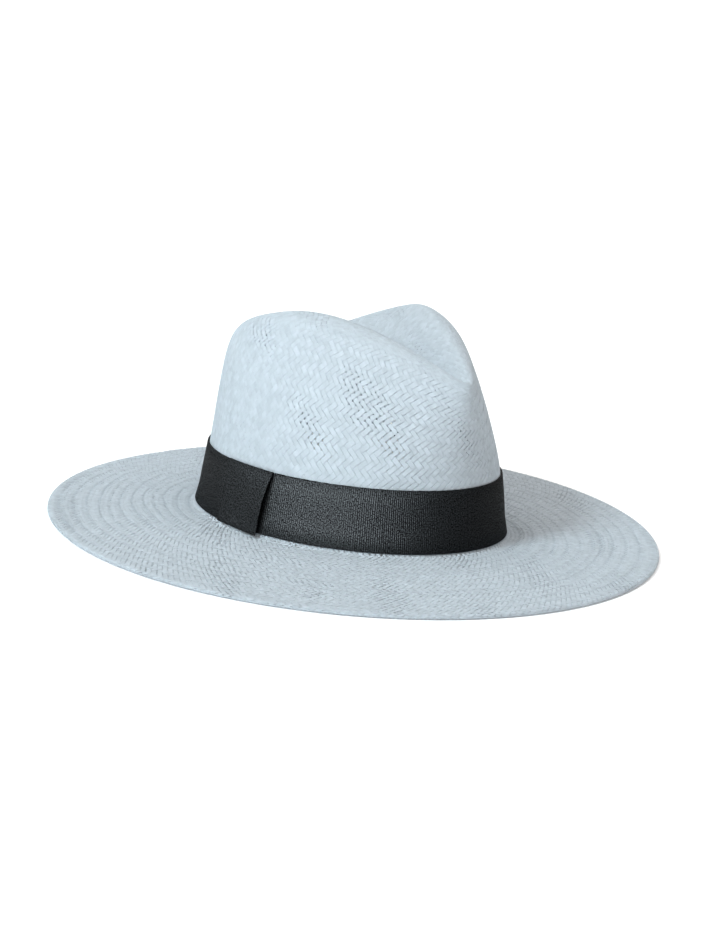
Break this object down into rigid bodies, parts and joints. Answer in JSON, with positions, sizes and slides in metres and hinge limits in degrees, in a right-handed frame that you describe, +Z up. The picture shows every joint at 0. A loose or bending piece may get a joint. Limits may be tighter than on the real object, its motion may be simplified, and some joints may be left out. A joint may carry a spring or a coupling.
{
  "type": "panama hat",
  "caption": "Wide-brimmed woven straw hat with a dented, front-pinched crown, a dark grosgrain ribbon with a flat side tab, and a cloth sweatband.",
  "frame": {"origin": "centre of the flat brim edge, on the surface that the hat rests on", "axes": "+Z up through the crown; -Y towards the front of the hat, where the pinch is; +X towards the wearer's left, so that the ribbon's tab is on -X"},
  "size_m": [0.364, 0.378, 0.1329],
  "materials": {
    "paper_straw": "matt woven paper straw, pale bluish white",
    "wire": "drawn steel wire",
    "pale_thread": "matt polyester thread, off-white",
    "grosgrain": "fine-ribbed grosgrain ribbon, charcoal",
    "dark_thread": "matt thread, near black",
    "sweatband_cloth": "cotton twill tape, off-white",
    "label_cloth": "satin-woven label, blank"
  },
  "bodies": {
    "root": {"straw_body": "paper_straw", "brim_wire": "wire", "wire_sleeve": "wire", "hem_stitches": "pale_thread", "hat_band": "grosgrain", "band_tab": "grosgrain", "band_tacks": "dark_thread", "sweatband": "sweatband_cloth", "sweatband_tape": "sweatband_cloth", "sweatband_stitches": "pale_thread", "size_label": "label_cloth"}
  },
  "joints": []
}
